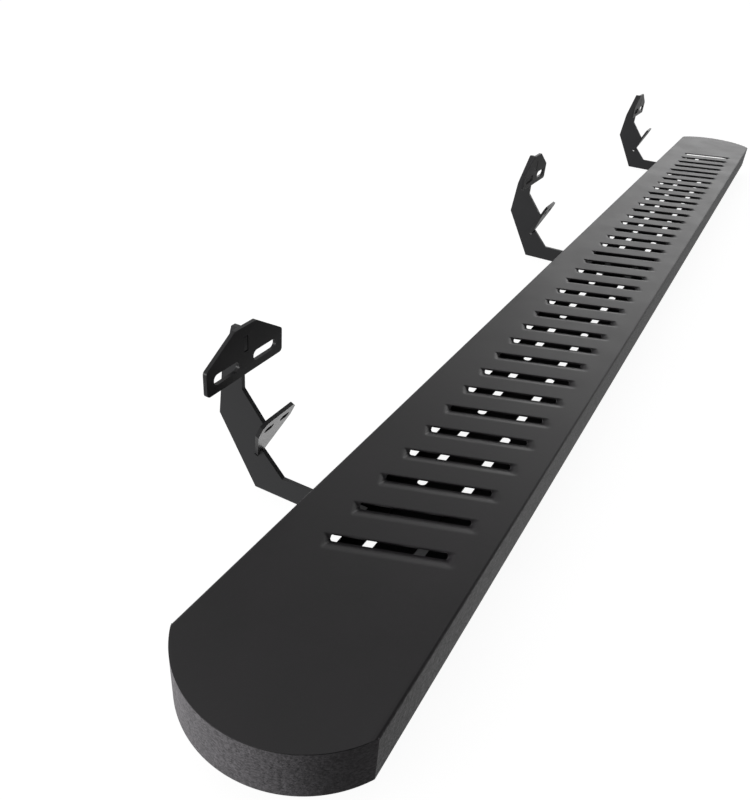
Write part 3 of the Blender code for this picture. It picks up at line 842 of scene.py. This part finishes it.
def make_bracket(place):
    """The four plates of one bracket."""
    slot = "bracket_powder_coat"
    plates = ((arm_mesh(f"{place}_arm_plate"), "bracket_arm"),
              (mount_mesh(f"{place}_mount"), "mount_plate"),
              (tab_mesh(f"{place}_tab"), "tab_plate"),
              (foot_mesh(f"{place}_foot", place), "foot_flange"))
    for mesh, node in plates:
        piece = add_piece(mesh.name, mesh, MATERIALS[slot], [f"{place}_{node}"],
                          (bracket_x(place), 0, 0))
        soften(piece, PLATE_EDGE)


def add_bead(bm, start, end, radius=BEAD_RADIUS):
    """A rippled weld bead along a straight joint."""
    start, end = Vector(start), Vector(end)
    along = (end - start).normalized()
    side = along.orthogonal().normalized()
    other = along.cross(side)
    length = (end - start).length
    steps = max(8, int(length / (BEAD_RIPPLE / 5)))
    rings = []
    for k in range(steps + 1):
        run = k / steps
        taper = min(1.0, 0.35 + 8 * min(run, 1 - run))
        swell = 1 + 0.10 * math.cos(2 * math.pi * length * run / BEAD_RIPPLE)
        spot = start.lerp(end, run)
        ring = []
        for j in range(BEAD_SIDES):
            a = 2 * math.pi * j / BEAD_SIDES
            out = side * math.cos(a) + other * math.sin(a)
            ring.append(bm.verts.new(spot + out * radius * taper * swell))
        rings.append(ring)
    for first, second in zip(rings, rings[1:]):
        for j in range(BEAD_SIDES):
            bm.faces.new((first[j - 1], first[j], second[j], second[j - 1]))
    bm.faces.new(rings[0])
    bm.faces.new(rings[-1])


def make_welds(place):
    """The beads that join one bracket's arm to its mount plate, tab plate and foot."""
    bm = bmesh.new()
    half = ARM_THICKNESS / 2
    back = MOUNT_Y + PLATE
    tab_start, tab_end = [tab_point(down, PLATE) for down in TAB_BEAD]
    for side in (-half, half):
        add_bead(bm, (side, back, MOUNT_BEAD[0]), (side, back, MOUNT_BEAD[1]))
        add_bead(bm, (side, *tab_start), (side, *tab_end))
        for low, high in FOOT_BEADS:
            add_bead(bm, (side, low, FLANGE_BOTTOM), (side, high, FLANGE_BOTTOM))
    bmesh.ops.recalc_face_normals(bm, faces=bm.faces)
    mesh = write_mesh(f"{place}_bracket_welds", bm, 60)
    slot = "bracket_powder_coat"
    add_piece(mesh.name, mesh, MATERIALS[slot], (), (bracket_x(place), 0, 0))


def make_tray_welds():
    """Short stitch beads that hold the tray's sides under the tread."""
    bm = bmesh.new()
    y = (TRAY_HIGH.y - TRAY_LOW.y) / 2
    z = TRAY_HIGH.z - DECK.z
    for side in (-y, y):
        for k in range(STITCH_COUNT):
            x = STITCH_FIRST_X + STITCH_PITCH * k
            add_bead(bm, (x - STITCH_HALF, side, z), (x + STITCH_HALF, side, z), STITCH_RADIUS)
    bmesh.ops.recalc_face_normals(bm, faces=bm.faces)
    mesh = write_mesh("tray_stitch_welds", bm, 60)
    slot = "tray_powder_coat"
    add_piece(mesh.name, mesh, MATERIALS[slot])


# ---- fasteners ----

def turned(name, levels, steps, closed=False):
    """A solid through rings, each a height and a rule giving its radius at an angle."""
    bm = bmesh.new()
    loops = []
    for z, radius in levels:
        ring = []
        for k in range(steps):
            a = 2 * math.pi * k / steps
            r = radius(a, z)
            ring.append(bm.verts.new((r * math.cos(a), r * math.sin(a), z)))
        loops.append(ring)
    pairs = list(zip(loops, loops[1:]))
    if closed:
        pairs.append((loops[-1], loops[0]))
    else:
        bm.faces.new(loops[0])
        bm.faces.new(loops[-1])
    for first, second in pairs:
        for k in range(steps):
            bm.faces.new((first[k - 1], first[k], second[k], second[k - 1]))
    bmesh.ops.recalc_face_normals(bm, faces=bm.faces)
    return write_mesh(name, bm, 32)


def round_rule(radius):
    return lambda a, z: radius


def square_rule(side):
    return lambda a, z: min(side / 2 / max(abs(math.cos(a)), abs(math.sin(a))), side * 0.66)


def thread_rule(radius, pitch, depth):
    """A ridge that winds once round for each pitch of height."""
    def rule(a, z):
        turn = (z / pitch + a / (2 * math.pi)) % 1.0
        return radius - depth * (1 - abs(2 * turn - 1))
    return rule


def hex_rule(across, limit):
    """A hexagon of the given width, its corners turned down to a limit."""
    def rule(a, z):
        flat = (a + math.pi / 6) % (math.pi / 3) - math.pi / 6
        return min(across / 2 / math.cos(flat), limit)
    return rule


def bolt_mesh():
    """Carriage bolt: domed head on the tray, square neck, rolled thread."""
    seat = TRAY_BOTTOM + SHEET + GAP
    height = BOLT_HIGH.z - DECK.z - seat
    head = (BOLT_HIGH.x - BOLT_LOW.x) / 2
    dome = [(math.sin(math.pi / 2 * k / 8), math.cos(math.pi / 2 * k / 8)) for k in range(1, 9)]
    levels = [(seat + HEAD_RIM + (height - HEAD_RIM) * up, round_rule(head * out))
              for out, up in dome]
    levels += [(seat + HEAD_LEAD, round_rule(head)), (seat, round_rule(head - HEAD_LEAD)),
               (seat, square_rule(NECK_SIDE)), (TRAY_BOTTOM, square_rule(NECK_SIDE))]
    end = BOLT_LOW.z - DECK.z
    step = THREAD_PITCH / THREAD_STEPS
    thread = thread_rule(THREAD_RADIUS, THREAD_PITCH, THREAD_DEPTH)
    start = TRAY_BOTTOM - THREAD_START
    count = int((start - end - THREAD_STOP) / step)
    levels += [(start - k * THREAD_PITCH / THREAD_STEPS, thread) for k in range(count)]
    levels += [(end + TIP_LENGTH, round_rule(TIP_RADII[0])), (end, round_rule(TIP_RADII[1]))]
    return turned("carriage_bolt", levels, 32)


def washer_mesh():
    low, high = WASHER_LOW.z - DECK.z, WASHER_HIGH.z - DECK.z
    outer = (WASHER_HIGH.x - WASHER_LOW.x) / 2
    bore, edge = HOLE_RADIUS, WASHER_EDGE
    levels = [(high, round_rule(bore + edge)), (high, round_rule(outer - edge)),
              (high - edge, round_rule(outer)), (low + edge, round_rule(outer)),
              (low, round_rule(outer - edge)), (low, round_rule(bore + edge)),
              (low + edge, round_rule(bore)), (high - edge, round_rule(bore))]
    return turned("flat_washer", levels, 40, True)


def nut_mesh():
    low, high = NUT_LOW.z - DECK.z, NUT_HIGH.z - DECK.z
    corner = hex_rule(NUT_ACROSS, NUT_ACROSS / 2 / math.cos(math.pi / 6))
    turned_edge = hex_rule(NUT_ACROSS, NUT_ACROSS / 2 * 1.05)
    turned_face = hex_rule(NUT_ACROSS, NUT_ACROSS / 2 * 0.97)
    bore, edge = HOLE_RADIUS, NUT_EDGE
    levels = [(high, round_rule(bore + edge)), (high, turned_face), (high - 0.0005, turned_edge),
              (high - 0.0011, corner), (low + 0.0011, corner), (low + 0.0005, turned_edge),
              (low, turned_face), (low, round_rule(bore + edge)),
              (low + edge, round_rule(bore)), (high - edge, round_rule(bore))]
    return turned("hex_nut", levels, 48, True)


def make_fasteners(place):
    shapes = {"carriage_bolt": bolt_mesh, "flat_washer": washer_mesh, "hex_nut": nut_mesh}
    slot = "zinc_fastener"
    for row, y in BOLT_ROWS.items():
        for label, shape in shapes.items():
            spot = (bracket_x(place) + BOLT_X, y, 0.0)
            node = f"{place}_{row}_{label}"
            add_piece(f"{place}_{row}_{label}_fine", shape(), MATERIALS[slot], [node], spot)


# ---- studio ----

def make_floor():
    """A pale floor that neither lights nor shades the board."""
    bpy.ops.mesh.primitive_plane_add(size=FLOOR_SIZE, location=(0.0, 0.0, -FLOOR_DROP))
    floor = bpy.context.object
    floor.name = "studio_floor"
    material = bpy.data.materials.new("pale_floor")
    material.use_nodes = True
    shader = material.node_tree.nodes["Principled BSDF"]
    shader.inputs["Base Color"].default_value = (FLOOR_GREY, FLOOR_GREY, FLOOR_GREY, 1.0)
    shader.inputs["Roughness"].default_value = 1.0
    shader.inputs["Specular IOR Level"].default_value = 0.0
    shader.inputs["Emission Color"].default_value = (1.0, 1.0, 1.0, 1.0)
    shader.inputs["Emission Strength"].default_value = FLOOR_GLOW
    floor.data.materials.append(material)
    floor.visible_diffuse = False
    floor.visible_glossy = False
    floor.visible_shadow = False


def make_world():
    """Soft surroundings by direction: dim on the outer side, brighter inward and ahead."""
    world = bpy.data.worlds.new("soft_studio")
    bpy.context.scene.world = world
    world.use_nodes = True
    tree = world.node_tree
    direction = tree.nodes.new("ShaderNodeTexCoord").outputs["Generated"]
    split = tree.nodes.new("ShaderNodeSeparateXYZ")
    tree.links.new(direction, split.inputs["Vector"])
    total = None
    for strength, factors in SURROUNDINGS:
        value = tree.nodes.new("ShaderNodeValue")
        value.outputs[0].default_value = strength
        part = value.outputs[0]
        for axis, low, high in factors:
            part = combine(tree, "MULTIPLY", part, rise(tree, split.outputs[axis], low, high))
        total = part if total is None else combine(tree, "ADD", total, part)
    background = tree.nodes["Background"]
    background.inputs["Color"].default_value = (1.0, 1.0, 1.0, 1.0)
    tree.links.new(total, background.inputs["Strength"])


def rise(tree, source, low, high):
    """A smooth change from 0 at low to 1 at high."""
    node = tree.nodes.new("ShaderNodeMapRange")
    node.interpolation_type = "SMOOTHSTEP"
    if low > high:
        values = (high, low, 1.0, 0.0)
    else:
        values = (low, high, 0.0, 1.0)
    for socket, value in zip(("From Min", "From Max", "To Min", "To Max"), values):
        node.inputs[socket].default_value = value
    tree.links.new(source, node.inputs["Value"])
    return node.outputs["Result"]


def combine(tree, operation, first, second):
    node = tree.nodes.new("ShaderNodeMath")
    node.operation = operation
    tree.links.new(first, node.inputs[0])
    tree.links.new(second, node.inputs[1])
    return node.outputs["Value"]


def make_key_light():
    """One large soft panel, to the left of the near end."""
    data = bpy.data.lights.new("key_panel", "AREA")
    data.shape = "RECTANGLE"
    data.size, data.size_y = KEY_SIZE
    data.energy = KEY_ENERGY
    panel = bpy.data.objects.new("key_panel", data)
    bpy.context.scene.collection.objects.link(panel)
    panel.location = KEY_PLACE
    aim = Vector(KEY_AIM) - Vector(KEY_PLACE)
    panel.rotation_euler = aim.to_track_quat("-Z", "Y").to_euler()


def make_camera():
    """A camera aimed by azimuth, dip and roll."""
    forward = Vector((math.cos(CAMERA_DIP) * math.cos(CAMERA_AZIMUTH),
                      math.cos(CAMERA_DIP) * math.sin(CAMERA_AZIMUTH), -math.sin(CAMERA_DIP)))
    right = forward.cross(Vector((0, 0, 1))).normalized()
    up = right.cross(forward)
    rolled_right = right * math.cos(CAMERA_ROLL) + up * math.sin(CAMERA_ROLL)
    rolled_up = up * math.cos(CAMERA_ROLL) - right * math.sin(CAMERA_ROLL)
    data = bpy.data.cameras.new("photo_camera")
    data.sensor_fit = "AUTO"
    data.sensor_width = SENSOR
    data.lens = CAMERA_LENS
    data.clip_start = 0.01
    data.clip_end = 500.0
    camera = bpy.data.objects.new("photo_camera", data)
    bpy.context.scene.collection.objects.link(camera)
    turn = Matrix((rolled_right, rolled_up, -forward)).transposed()
    camera.matrix_world = Matrix.Translation(CAMERA_PLACE) @ turn.to_4x4()
    bpy.context.scene.camera = camera


make_deck()
make_end_band("rear", -1)
make_end_band("front", 1)
make_tray()
make_tray_welds()
for bracket in BRACKETS:
    make_bracket(bracket)
    make_welds(bracket)
    make_fasteners(bracket)
make_floor()
make_world()
make_key_light()
make_camera()
bpy.context.scene.view_settings.view_transform = "Standard"
